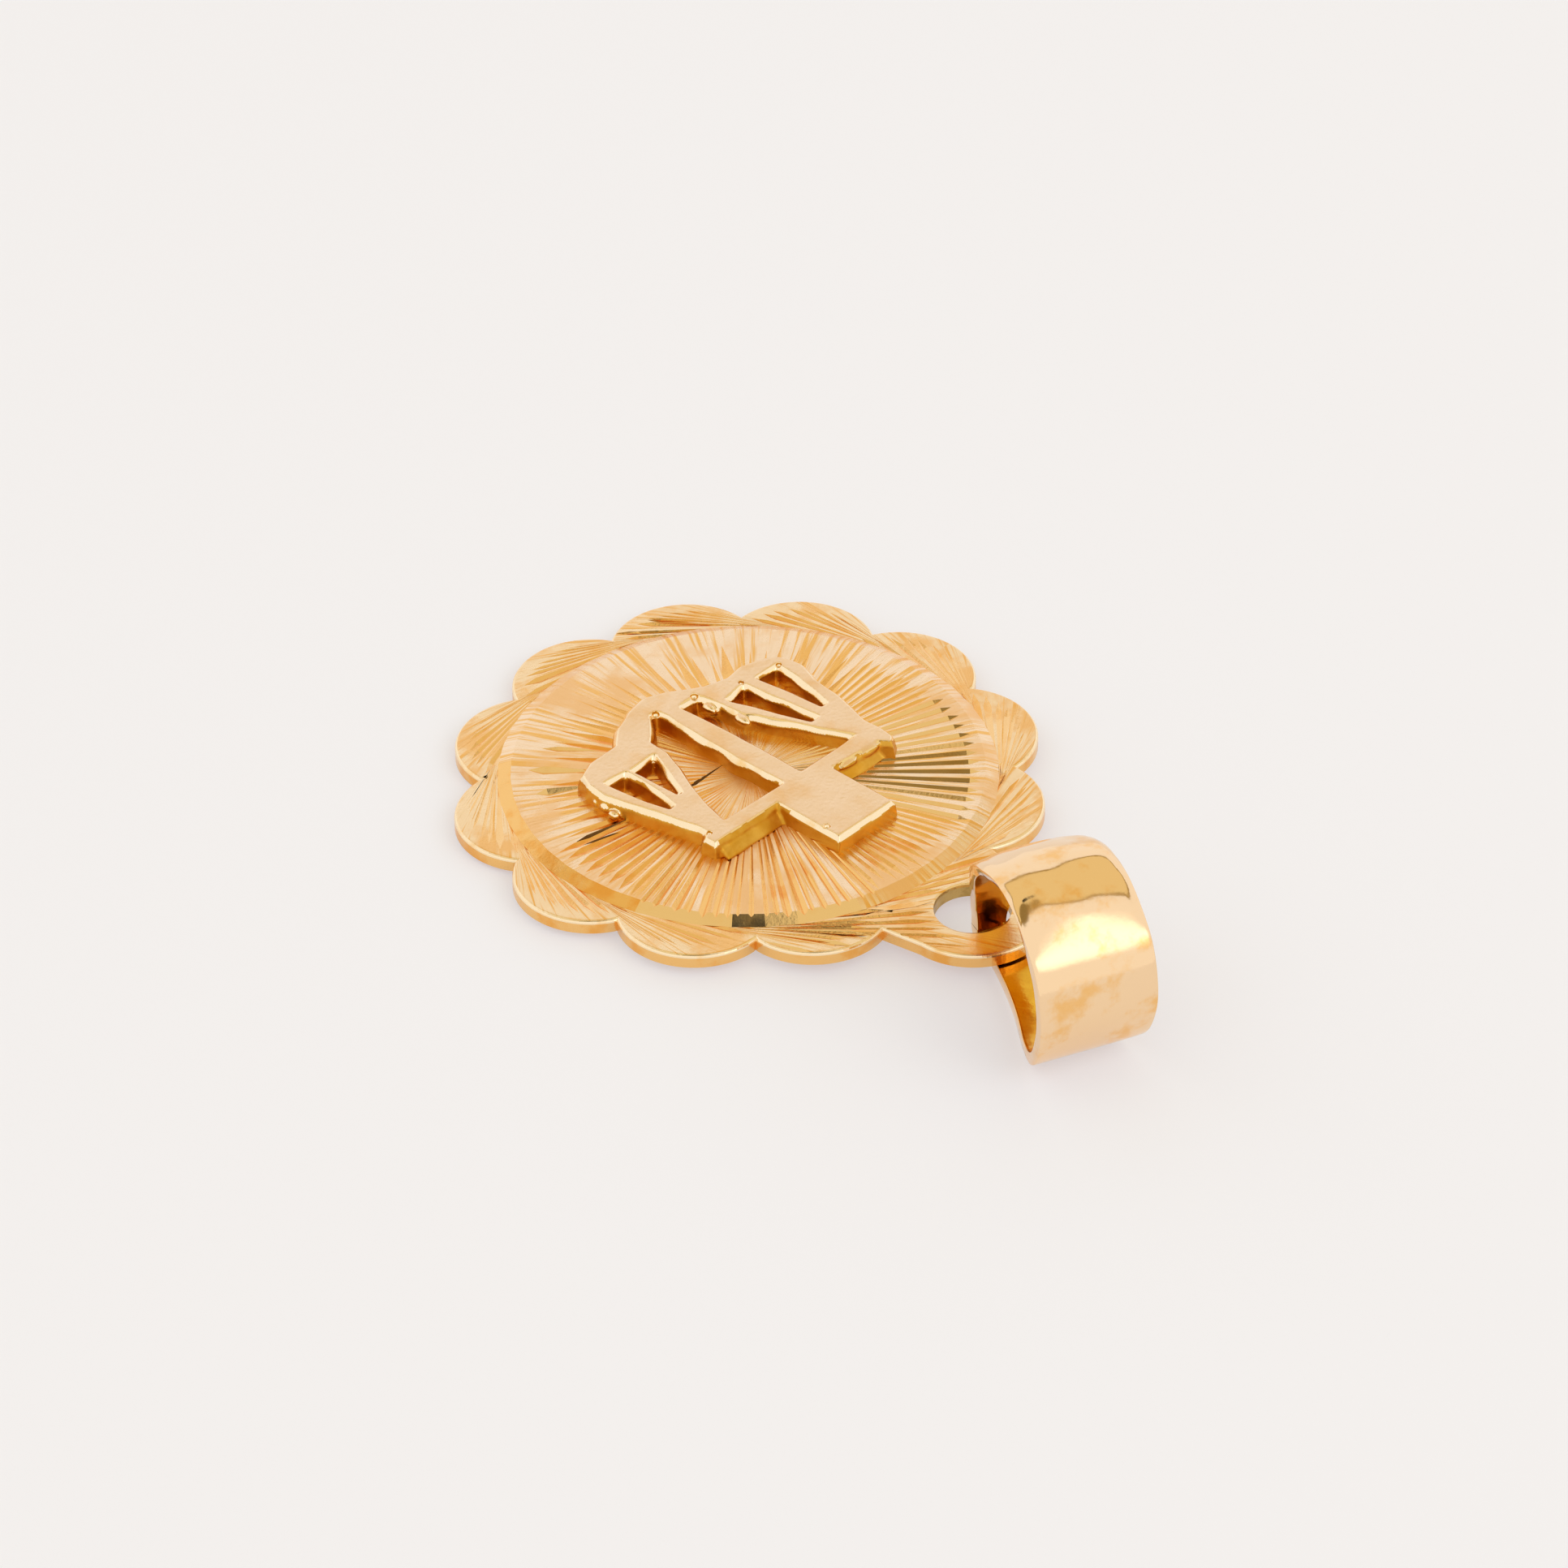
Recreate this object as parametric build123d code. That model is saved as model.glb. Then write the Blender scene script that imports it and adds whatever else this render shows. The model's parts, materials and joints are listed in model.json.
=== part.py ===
from build123d import *
import math
import os

# A gold zodiac charm that lies on its back: a scalloped medallion with a raised pair of scales,
# and a wide bail that passes through the medallion's lug. Millimetres, +Z up, +Y from the
# medallion to the bail. The origin is on the surface, under the middle of the whole.

# Plate
scallops = 12               # places round the rim, one of them taken by the lug
rim_r = 9.0                 # from the middle to the tip of a scallop
scallop_dip = 0.97          # depth of the notches between the scallops
plate_t = 0.44              # thickness of the plate
hole_out = 0.33             # from the circle of the tips out to the centre of the hole
hole_side = 0.34            # from the middle line to the centre of the hole
hole_r = 1.12               # radius of the hole
lug_wall = 1.13             # metal round the hole
lug_foot_w = 5.2            # width of the lug at the foot of the raised centre

# Raised centre
ledge = 0.53                # flat ring between the notches and the foot of the wall
wall_slope = 0.40           # how far the wall runs in on its way up
centre_h = 0.17             # height above the plate
centre_facets = 48          # flats round the wall
centre_turn = 2.3           # turn of those flats, degrees

# Scales, raised from the centre
figure_margin = 2.04        # from the edge of the centre to the circle the figure is drawn in
figure_x = -0.11            # middle of that circle
figure_y = -0.17
relief_h = 0.54             # height above the centre
seat = 0.05                 # how far the figure's foot is let into the centre
block_w = 2.32              # width of the block above the beam
beam_w = 0.48               # width of the beam
column_w = 0.70             # width of the column
string_w = 0.40             # width of a string of the pans
pan_shoulder = 0.18         # height of a pan's corners above the foot of the strings
base_w = 1.03               # width of the curved base left of the column
base_step = 0.19            # how much narrower the base starts right of the column

# Bail
bail_len = 7.25             # from the neck to the outer end
bail_h = 5.75               # height over the surface as it lies
bail_w = 3.70               # greatest width of the strip
strip_t = 0.38              # thickness of the strip
bend_r = 0.12               # inner radius of the bend under the neck
bail_lean = 0.45            # how much sooner the upper strand widens than the lower one
bail_turn = 22.5            # turn of the bail away from the medallion's axis, degrees
neck_play = 0.645           # room in the hole on each side of the neck
neck_gap = 0.10             # clearance between the neck's corners and the hole
neck_way = -10.0            # side of the hole the neck bears on, degrees from the medallion's axis
lug_gap = 0.05              # clearance between the lug and the strip under it

# What follows from those sizes
notch_r = rim_r - scallop_dip
hole_y = rim_r + hole_out
foot_r = notch_r - ledge
centre_r = foot_r - wall_slope
figure_r = centre_r - figure_margin
neck_w = 2 * (hole_r - neck_play)
# The lug lies on the strip, so the medallion leans on the far edge of its rim.
rest_tilt = math.degrees(math.asin((strip_t + lug_gap) / (rim_r + hole_y + hole_r)))

# Where the parts of the scales lie, in shares of the figure's radius.
layout = dict(
    block_x=0.020,
    block_top=0.966,
    beam_low=0.386,
    beam_left=-0.692,
    beam_right=0.776,
    column_x=0.022,
    base_low=-0.796,
    base_ends=-0.576,
    base_reach=0.500,
    base_heel=-0.186,
    base_rise=-0.477,
)

# Each pan hangs from the beam, in the same shares. apex: middle of its top, half: half of its
# top's width, out and inn: its two lower corners, mid_top and mid: the middle string at its top
# and its foot, foot: foot of the strings, open: where the two openings end at the top,
# low: bottom of the pan.
pans = [
    dict(apex=-0.626, half=0.066, out=-0.844, inn=-0.226,
         mid_top=-0.576, mid=-0.502, foot=-0.464, open=0.068, low=-0.612),
    dict(apex=0.658, half=0.068, out=0.876, inn=0.332,
         mid_top=0.634, mid=0.622, foot=-0.390, open=0.044, low=-0.582),
]

# Outer line of the bail from the side, from the flat lower strand over the outer end and the
# top down to the neck: share of its length and of its height.
bail_side = [
    (0.560, 0.000),
    (0.760, 0.020),
    (0.900, 0.096),
    (0.992, 0.262),
    (1.000, 0.570),
    (0.871, 0.835),
    (0.654, 1.000),
    (0.410, 0.942),
    (0.199, 0.702),
    (0.046, 0.364),
]

# Half width of the strip on its way out: share of the length, share of the way from the
# neck's half width to the full half width.
bail_plan = [
    (-0.10, 0.00),
    (0.07, 0.02),
    (0.17, 0.10),
    (0.36, 0.33),
    (0.65, 0.76),
    (0.88, 0.96),
    (1.45, 1.00),
]


def polar(radius, angle):
    a = math.radians(angle)
    return (radius * math.cos(a), radius * math.sin(a))


def plate():
    """Scalloped plate with the lug, pierced, its back at z = 0."""
    step = 360 / scallops
    lobes = []
    for k in range(scallops):
        middle = 90 + k * step
        start = polar(notch_r, middle - step / 2)
        end = polar(notch_r, middle + step / 2)
        lobes.append(ThreePointArc(start, polar(rim_r, middle), end))
    outline = make_face(lobes)
    lug_r = hole_r + lug_wall
    outline += Pos(hole_side, hole_y) * Circle(lug_r)
    outline += Polygon(
        (hole_side - lug_foot_w / 2, foot_r),
        (hole_side + lug_foot_w / 2, foot_r),
        (hole_side + lug_r, hole_y),
        (hole_side - lug_r, hole_y),
        align=None,
    )
    outline -= Pos(hole_side, hole_y) * Circle(hole_r)
    return extrude(outline, plate_t)


def raised_centre():
    """Faceted drum with a sloping wall on top of the plate."""
    foot = Plane.XY.offset(plate_t) * RegularPolygon(foot_r, centre_facets, rotation=centre_turn)
    top_plane = Plane.XY.offset(plate_t + centre_h)
    top = top_plane * RegularPolygon(centre_r, centre_facets, rotation=centre_turn)
    return loft([foot, top], ruled=True)


def pan_face(pan):
    """One pan with its three strings: a tapered panel with a round bottom and two openings."""
    side = math.copysign(1, pan["out"])
    top_y = layout["beam_low"] * figure_r + beam_w / 2
    foot_y = pan["foot"] * figure_r
    corner_y = foot_y + pan_shoulder
    top_out = (pan["apex"] + side * pan["half"]) * figure_r
    top_in = (pan["apex"] - side * pan["half"]) * figure_r
    corner_out = pan["out"] * figure_r
    corner_in = pan["inn"] * figure_r
    bottom = ((corner_out + corner_in) / 2, pan["low"] * figure_r)
    panel = make_face([
        Line((top_in, top_y), (top_out, top_y)),
        Line((top_out, top_y), (corner_out, corner_y)),
        ThreePointArc((corner_out, corner_y), bottom, (corner_in, corner_y)),
        Line((corner_in, corner_y), (top_in, top_y)),
    ])

    def edge_x(top, corner, y):
        return top + (corner - top) * (top_y - y) / (top_y - corner_y)

    for top, corner, inward in ((top_out, corner_out, -side), (top_in, corner_in, side)):
        outer = []
        inner = []
        for y, middle in ((pan["open"] * figure_r, pan["mid_top"]), (foot_y, pan["mid"])):
            outer.append((edge_x(top, corner, y) + inward * string_w, y))
            inner.append((middle * figure_r - inward * string_w / 2, y))
        panel -= Polygon(outer[0], inner[0], inner[1], outer[1], align=None)
    return panel


def scales_face():
    """The whole figure seen from above: block, beam, column, base and two pans."""
    beam_low = layout["beam_low"] * figure_r
    beam_middle = (layout["beam_left"] + layout["beam_right"]) / 2 * figure_r
    beam_length = (layout["beam_right"] - layout["beam_left"]) * figure_r
    block_top = layout["block_top"] * figure_r
    column_x = layout["column_x"] * figure_r
    base_low = layout["base_low"] * figure_r
    reach = layout["base_reach"] * figure_r
    ends_y = layout["base_ends"] * figure_r
    column_foot = base_low + base_w / 2
    figure = Pos(beam_middle, beam_low + beam_w / 2) * Rectangle(beam_length, beam_w)
    block = Rectangle(block_w, block_top - beam_low)
    figure += Pos(layout["block_x"] * figure_r, (block_top + beam_low) / 2) * block
    column = Rectangle(column_w, beam_low - column_foot)
    figure += Pos(column_x, (beam_low + column_foot) / 2) * column
    shelf = base_low + base_w
    left, right = [(pan["inn"] * figure_r, pan["foot"] * figure_r + pan_shoulder) for pan in pans]
    rise_y = layout["base_rise"] * figure_r
    figure += make_face([
        ThreePointArc((-reach, ends_y), (column_x, base_low), (reach, ends_y)),
        Polyline(
            (reach, ends_y),
            (right[0] + string_w, right[1] - pan_shoulder),
            right,
            (right[0], rise_y),
            (column_x + column_w / 2, shelf - base_step),
            (column_x - column_w / 2, shelf),
            (layout["base_heel"] * figure_r, shelf),
            left,
            (-reach, ends_y),
        ),
    ])
    for pan in pans:
        figure += pan_face(pan)
    return figure


def scales():
    """The figure raised from the centre."""
    foot = Pos(figure_x, figure_y, plate_t + centre_h - seat)
    return foot * extrude(scales_face(), relief_h + seat)


def medallion():
    """Plate, raised centre and scales as one soldered piece."""
    return plate() + raised_centre() + scales()


def loop_line(points):
    """Smooth line through the points that starts along the lower strand and ends down the neck."""
    return Spline(*points, tangents=((1, 0), (0, -1)), tangent_scalars=(1, 1))


def strip_side():
    """Section along the bail: a strip of even thickness closed into a loop, Y along, Z up."""
    bend = bend_r + strip_t
    heel = -strip_t / 2
    points = [(along * bail_len + heel, up * bail_h) for along, up in bail_side]
    points.append((heel, bend))
    back = loop_line(points)
    steps = 2 * len(points)
    lining = []
    for k in range(steps + 1):
        place = back @ (k / steps)
        way = back % (k / steps)
        lining.append((place.X - way.Y * strip_t, place.Y + way.X * strip_t))
    corner = heel + bend
    half_way = math.sqrt(0.5)
    outer = make_face([
        Line((corner, 0), points[0]),
        back,
        ThreePointArc((heel, bend), (corner - bend * half_way, bend * (1 - half_way)), (corner, 0)),
    ])
    inner = make_face([
        Line((corner, strip_t), lining[0]),
        loop_line(lining),
        ThreePointArc(lining[-1], (corner - bend_r * half_way, bend - bend_r * half_way), (corner, strip_t)),
    ])
    return Plane.YZ * (outer - inner)


def bail():
    """The loop trimmed to its width: X across, Y out from the neck's middle line, Z up."""
    band = extrude(strip_side(), bail_w, both=True)
    right = []
    for along, share in bail_plan:
        half = neck_w / 2 + share * (bail_w - neck_w) / 2
        right.append((half, along * bail_len))
    left = [(-x, y) for x, y in reversed(right)]
    plan = make_face([
        Spline(*right),
        Line(right[-1], left[0]),
        Spline(*left),
        Line(left[-1], right[0]),
    ])
    below = bail_h / 10
    rise = bail_h + 2 * below
    start = Pos(0, bail_lean * below, -below) * plan
    envelope = extrude(start, amount=rise * math.hypot(1, bail_lean), dir=(0, -bail_lean, 1))
    return band & envelope


def neck_place():
    """Middle of the neck, moved from the hole's centre until a corner is a clearance off its wall."""
    turn = math.radians(bail_turn)
    way = polar(1, 90 - neck_way)
    corner_x = strip_t / 2 * math.sin(turn) - neck_w / 2 * math.cos(turn)
    corner_y = strip_t / 2 * math.cos(turn) + neck_w / 2 * math.sin(turn)
    along = corner_x * way[0] + corner_y * way[1]
    across = corner_x * way[1] - corner_y * way[0]
    out = math.sqrt((hole_r - neck_gap) ** 2 - across ** 2) - along
    return (hole_side + out * way[0], hole_y + out * way[1])


def lay_down():
    """Both pieces as they rest, with the origin under the middle of the whole."""
    tilt = Pos(0, 0, rim_r * math.sin(math.radians(rest_tilt))) * Rot(rest_tilt, 0, 0)
    charm = tilt * medallion()
    neck = Pos(*neck_place()) * Rot(0, 0, -bail_turn)
    loop = neck * bail()
    whole = Compound(children=[Compound(charm.solids()), Compound(loop.solids())]).bounding_box()
    shift = Pos(-whole.center().X, -whole.center().Y, -whole.min.Z)
    return {"medallion": shift * charm, "bail": shift * loop}


os.makedirs("parts", exist_ok=True)
for name, shape in lay_down().items():
    export_step(shape, "parts/" + name + ".step")
    print(name, "solids", len(shape.solids()), "volume", round(shape.volume, 2))
print("lean", round(rest_tilt, 3))
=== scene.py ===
import json
import math
import random

import bmesh
import bpy
from mathutils import Matrix, Vector


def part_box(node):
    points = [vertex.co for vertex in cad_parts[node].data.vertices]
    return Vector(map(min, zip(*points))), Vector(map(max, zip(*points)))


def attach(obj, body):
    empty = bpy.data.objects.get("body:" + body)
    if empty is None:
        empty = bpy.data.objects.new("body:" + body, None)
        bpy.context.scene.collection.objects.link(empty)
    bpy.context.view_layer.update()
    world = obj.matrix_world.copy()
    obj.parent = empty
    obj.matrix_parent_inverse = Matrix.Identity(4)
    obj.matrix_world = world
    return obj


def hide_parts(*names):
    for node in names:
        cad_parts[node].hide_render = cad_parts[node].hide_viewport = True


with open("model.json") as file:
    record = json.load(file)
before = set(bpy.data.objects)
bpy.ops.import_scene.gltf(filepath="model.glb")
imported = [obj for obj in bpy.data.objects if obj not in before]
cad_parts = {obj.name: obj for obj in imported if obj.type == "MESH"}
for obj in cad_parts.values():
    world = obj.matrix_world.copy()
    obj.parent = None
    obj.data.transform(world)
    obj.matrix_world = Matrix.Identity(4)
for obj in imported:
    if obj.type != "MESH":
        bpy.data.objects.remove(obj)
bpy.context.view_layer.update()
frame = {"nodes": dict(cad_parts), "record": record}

# A gold zodiac charm lying on its back on a pale surface. The medallion is modelled in three
# pieces, the scalloped rim, the raised centre and the scales, and the bail is the fourth. Each is
# modelled in millimetres in its own flat position and then laid down where the frame has it.

random.seed(7)
mm = 0.001

# Rim and lug
scallops = 12
rim_r = 9.0
scallop_dip = 0.97
plate_t = 0.44
hole_x = 0.34
hole_y = rim_r + 0.33
hole_r = 1.12
lug_wall = 1.13
lug_foot_w = 5.2
rim_round = 0.11            # rounding of the rim's upper edge
hole_round = 0.09           # rounding of the hole's edges
notch_r = rim_r - scallop_dip

# Raised centre
foot_r = notch_r - 0.53
centre_r = foot_r - 0.40
centre_h = 0.17
centre_flats = 48
centre_turn = 2.3           # turn of those flats, degrees
centre_seat = 0.12          # how far it is let into the plate
wall_parts = [(14, 73), (-52, 14)]      # part of its wall that is polished, and part that is rougher and has painted shade, degrees
centre_top = plate_t + centre_h

# Scales
figure_x, figure_y = -0.11, -0.17
relief_h = 0.54
figure_seat = 0.10          # how far the figure is let into the centre
relief_slope = 0.17         # how far the cast sides run out on their way down
relief_voxel = 0.036        # fineness of the figure's mesh
waves = 0.14                # height of the waves that casting left in its sides
wave_size = 0.9
drawn = 0.979               # millimetres in one unit of the outlines below

# Bail
bail_len = 7.25
bail_h = 5.75
bail_w = 3.70
strip_t = 0.38
bend_r = 0.12
bail_lean = 0.45
neck_w = 0.95
strip_crown = 0.28          # how much further in the strip's edges are than its middle
crown_fades = 0.37          # share of the loop's length from which the crown fades towards the top
crown_fade = 9              # how fast it fades
crown_left = 0.08           # share of the crown that stays
strip_round = 0.12          # rounding of the strip's edges
dent = 0.065                # height of the dents in the strip
dents_end = 0.45            # share of the loop's length at which they end
dents_fade = 15             # how fast they fade
dents_left = 0.12           # share of them that stays
chain_out = 3.9             # from the neck to the middle of the chain's way

# How the pieces lie. The lug rests on the bail's strip, so the medallion leans on its far edge.
lean = math.asin((strip_t + 0.05) / (rim_r + hole_y + hole_r))
shift_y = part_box("medallion")[0].y / mm + rim_r * math.cos(lean) + plate_t * math.sin(lean)
lie_medallion = (Matrix.Translation((0, shift_y, rim_r * math.sin(lean)))
                 @ Matrix.Rotation(lean, 4, "X"))
mounts = {mount["name"]: mount for mount in frame["record"]["mounts"]}
across = Vector(mounts["chain_way"]["axis"]).normalized()
outward = Vector((-across.y, across.x, 0))
neck = Vector(mounts["chain_way"]["pos_m"]) / mm - outward * chain_out
lie_bail = Matrix.Translation((neck.x, neck.y, 0)) @ Matrix.Rotation(math.atan2(across.y, across.x), 4, "Z")

# Cuts in the raised centre, fanned out from the middle of the rays at ray_x and ray_y. A field has
# the angles of its first and last ray in degrees from +X, counted towards the lug, how many there
# are, their full width and depth where they are widest, how far out they end, the share of the way
# at which they are widest, how uneven they are, and their finish, whose darker gold is painted shade.
ray_x, ray_y = 0.08, 0.21
ray_start = 0.5             # nearest start of a ray to that middle
ray_start_spread = 1.5      # how much further out an uneven ray may start
ray_size_spread = 0.7       # how much an uneven ray's width and depth vary
rays = [
    dict(first=16, last=74, count=20, wide=0.20, deep=0.060, reach=7.55,
         tip=0.94, uneven=0.70, finish_and_shade="cut"),
    dict(first=76.5, last=109.5, count=13, wide=0.20, deep=0.032, reach=6.85,
         tip=0.90, uneven=0.40, finish_and_shade="cut"),
    dict(first=112.6, last=165.2, count=14, wide=0.25, deep=0.072, reach=6.83,
         tip=0.95, uneven=0.05, finish_and_shade="bright"),
    dict(first=168, last=190, count=9, wide=0.20, deep=0.035, reach=6.75,
         tip=0.92, uneven=0.25, finish_and_shade="cut"),
    dict(first=193, last=288, count=23, wide=0.26, deep=0.020, reach=6.45,
         tip=0.70, uneven=0.80, finish_and_shade="soft"),
    dict(first=293, last=344, count=9, wide=0.34, deep=0.050, reach=6.35,
         tip=0.75, uneven=0.55, finish_and_shade="deep"),
    dict(first=348, last=373, count=8, wide=0.30, deep=0.050, reach=6.90,
         tip=0.90, uneven=0.35, finish_and_shade="deep"),
]
# Single cuts beside those: start and end, half width, depth, and finish, whose darker gold is painted
# shade.
ray_strays = [
    (3.0, -3.0, 4.55, -4.75, 0.21, 0.098, "bright"),
    (3.6, -2.7, 5.25, -3.75, 0.19, 0.088, "bright"),
    (2.0, -3.4, 3.5, -5.2, 0.13, 0.055, "bright"),
    (3.9, -0.82, 6.10, -1.22, 0.085, 0.055, "dark"),
    (4.0, -0.35, 6.15, -1.00, 0.055, 0.040, "dark"),
    (0.3, -0.66, 2.0, -0.62, 0.075, 0.045, "dark"),
    (-6.9, 0.62, -4.4, 0.40, 0.05, 0.03, "deep"),
]

# Cuts in a scallop fan out from a point at the foot of the raised centre.
fan_back = 23.0             # from the scallop's middle back to that point, degrees
fan_r = foot_r + 0.04       # radius it lies on
fan_cuts = 12
fan_margin = 0.40           # plain metal outside the cuts
fan_deep = 0.075            # greatest depth of a cut
fan_start = 0.06            # share of the way to its end that a cut starts at
fan_room = 9.0              # greatest room that a cut may use, degrees
fan_fill = 0.27             # half width of a cut as a share of its room
fan_slope = 0.42            # depth of a cut as a share of its half width, where it isn't too deep
lug_deep = 0.045
lug_start = 0.10
lug_apex = (5.45, 5.25)
lug_ends = [
    (-2.0, 8.10), (-1.7, 8.45), (-0.9, 8.40), (0.2, 8.12), (0.95, 8.25), (1.30, 8.55),
    (1.52, 8.95), (1.62, 9.40), (1.62, 9.95), (1.60, 10.70), (2.00, 10.35), (2.25, 9.85), (2.35, 9.25),
]
fan_strays = [
    (5.05, 5.60, 3.30, 8.05, 0.15, 0.070, "bright"),
    (5.45, 5.50, 4.00, 8.00, 0.12, 0.052, "bright"),
    (5.75, 5.60, 5.05, 7.35, 0.10, 0.040, "bright"),
    (-4.75, -5.95, -3.55, -7.65, 0.10, 0.060, "deep"),
    (-4.10, -6.15, -2.30, -7.95, 0.09, 0.055, "deep"),
]

# Outlines of the scales, seen from above.
scales_outline = [
    (1.25, 5.00), (-1.10, 5.00), (-1.10, 2.52), (-2.10, 2.56), (-3.05, 2.60), (-3.30, 2.95),
    (-3.52, 2.75), (-3.58, 2.25), (-3.55, 1.60), (-3.75, 0.80), (-3.95, 0.00), (-4.05, -1.00),
    (-4.35, -1.80), (-4.30, -2.20), (-4.15, -2.60), (-3.80, -2.85), (-3.00, -3.08),
    (-2.30, -2.98), (-1.50, -3.20), (-1.00, -3.50), (-0.50, -3.85), (0.20, -4.12), (1.00, -3.97),
    (1.90, -3.60), (2.55, -3.05), (3.70, -3.00), (4.30, -2.75), (4.50, -2.30), (4.55, -1.60),
    (4.40, -0.80), (4.10, 0.10), (3.95, 0.90), (3.75, 1.60), (3.75, 1.95), (4.02, 2.15),
    (4.00, 2.50), (2.60, 2.52), (1.25, 2.50),
]
scales_windows = [
    [(-2.90, 1.97), (-0.30, 2.00), (-0.32, 0.00), (-0.25, -2.00), (-0.15, -3.00), (-0.30, -3.10),
     (-1.00, -3.10), (-1.10, -2.90), (-1.20, -2.00), (-1.30, -1.30), (-1.50, -1.00), (-1.90, -0.10),
     (-2.30, 0.80)],
    [(0.42, 2.00), (3.05, 1.95), (2.85, 1.10), (2.45, 0.00), (2.05, -0.90), (1.75, -1.70),
     (1.72, -2.42), (1.10, -3.00), (0.70, -3.45), (0.40, -3.35), (0.35, -3.00), (0.40, -2.60),
     (0.47, 0.00)],
    [(-3.50, 0.20), (-3.15, 0.20), (-3.05, -1.00), (-2.85, -2.40), (-3.90, -2.40), (-3.85, -1.50),
     (-3.70, -0.80)],
    [(-2.80, 0.50), (-2.38, 0.50), (-2.00, -0.50), (-1.75, -1.30), (-1.42, -2.10), (-1.45, -2.30),
     (-2.45, -2.45), (-2.60, -1.10)],
    [(2.85, 0.10), (3.08, 0.05), (3.13, -1.50), (3.20, -1.90), (2.00, -1.95), (2.30, -1.20)],
    [(3.45, 0.35), (3.75, 0.40), (3.97, -0.40), (4.10, -1.30), (4.20, -2.05), (3.25, -1.95),
     (3.30, -0.50)],
]

# What the casting left on the scales, seen from above. Ramps on the side of the arms towards the
# block: from and to along X, top edge and foot along Y. Lumps: place with its height over the
# centre, and half sizes. Pits: place with its height over the centre, and radius.
ramps = [(-3.45, -1.15, 2.22, 2.72), (1.15, 3.70, 2.24, 2.72)]
lumps = [
    (-2.75, 2.38, 0.42, 0.50, 0.20, 0.11), (-1.75, 2.40, 0.40, 0.40, 0.18, 0.09),
    (-3.30, 2.25, 0.30, 0.22, 0.24, 0.22), (3.62, 2.12, 0.38, 0.26, 0.22, 0.16),
    (0.98, 4.10, 0.34, 0.16, 0.30, 0.18), (4.48, -1.20, 0.12, 0.15, 0.20, 0.12),
    (4.46, -1.62, 0.16, 0.13, 0.17, 0.12), (4.42, -1.98, 0.14, 0.14, 0.15, 0.13),
    (4.36, -2.26, 0.22, 0.10, 0.12, 0.10), (-1.22, -1.40, 0.38, 0.16, 0.30, 0.16),
    (-1.02, -2.55, 0.30, 0.16, 0.30, 0.18),
]
pits = [
    (-2.26, 2.64, 0.50, 0.07), (1.02, 4.16, 0.54, 0.12), (-3.91, -2.42, 0.52, 0.09),
    (-2.46, -2.62, 0.52, 0.09), (-1.00, -3.18, 0.50, 0.14), (0.42, -3.42, 0.50, 0.12),
    (3.60, 1.84, 0.52, 0.10),
]

# Side of the bail, from the flat lower strand over the outer end and the top down to the neck.
bail_side = [
    (0.560, 0.000), (0.760, 0.020), (0.900, 0.096), (0.992, 0.262), (1.000, 0.570),
    (0.871, 0.835), (0.654, 1.000), (0.410, 0.942), (0.199, 0.702), (0.046, 0.364),
]
# Half width of the strip: share of the bail's length, share of the way from neck to full width.
bail_plan = [
    (-0.10, 0.00), (0.07, 0.02), (0.17, 0.10), (0.36, 0.33), (0.65, 0.76), (0.88, 0.96),
    (1.45, 1.00),
]


def polar(radius, angle):
    """Point at that radius and angle in degrees from +X."""
    return Vector((radius * math.cos(math.radians(angle)), radius * math.sin(math.radians(angle)), 0))


# Selecting and editing

def take(piece, *others):
    """Only these pieces are selected, the first one active."""
    bpy.ops.object.select_all(action="DESELECT")
    for each in (piece, *others):
        each.select_set(True)
    bpy.context.view_layer.objects.active = piece


def edit(piece, kind="FACE"):
    """Opens the piece in edit mode with nothing selected."""
    take(piece)
    bpy.ops.object.mode_set(mode="EDIT")
    bpy.ops.mesh.select_mode(type=kind)
    bpy.ops.mesh.select_all(action="DESELECT")


def pick(piece, kind, wanted):
    """Selects the faces, edges or vertices that are wanted, and nothing else."""
    bpy.ops.mesh.select_mode(type=kind)
    bpy.ops.mesh.select_all(action="DESELECT")
    mesh = bmesh.from_edit_mesh(piece.data)
    parts = {"FACE": mesh.faces, "EDGE": mesh.edges, "VERT": mesh.verts}[kind]
    for part in parts:
        if wanted(part):
            part.select_set(True)
    bmesh.update_edit_mesh(piece.data)


def leave():
    bpy.ops.object.mode_set(mode="OBJECT")


def named(name):
    piece = bpy.context.object
    piece.name = name
    piece.data.name = name
    return piece


def fixed(piece):
    """Moves the piece's place into its mesh."""
    take(piece)
    bpy.ops.object.transform_apply(location=True, rotation=True, scale=True)
    return piece


def modified(piece, kind, **settings):
    """Adds a modifier with those settings and applies it."""
    take(piece)
    step = piece.modifiers.new(kind.lower(), kind)
    for key, value in settings.items():
        setattr(step, key, value)
    bpy.ops.object.modifier_apply(modifier=step.name)
    return piece


def given(piece, slot):
    """Gives the selected faces the material in that slot."""
    piece.active_material_index = slot
    bpy.ops.object.material_slot_assign()


def joined(pieces):
    take(*pieces)
    bpy.ops.object.join()
    return pieces[0]


def combine(piece, tool, operation, self_crossing=False):
    """Boolean of the piece with a tool, which is then thrown away."""
    modified(piece, "BOOLEAN", object=tool, operation=operation, solver="EXACT",
             use_self=self_crossing, material_mode="TRANSFER")
    bpy.data.objects.remove(tool)
    return piece


def copy_of(piece):
    twin = piece.copy()
    twin.data = piece.data.copy()
    bpy.context.scene.collection.objects.link(twin)
    return twin


def laid_down(piece, place):
    """Takes a finished piece from its flat position in millimetres to its place in metres."""
    piece.matrix_world = Matrix.Scale(mm, 4) @ place @ piece.matrix_world
    return fixed(piece)


# Finishes

def node(tree, kind, place=(0, 0), **settings):
    """A new shader node at that place in the tree, with those settings."""
    made = tree.nodes.new(kind)
    made.location = place
    for key, value in settings.items():
        setattr(made, key, value)
    return made


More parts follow.
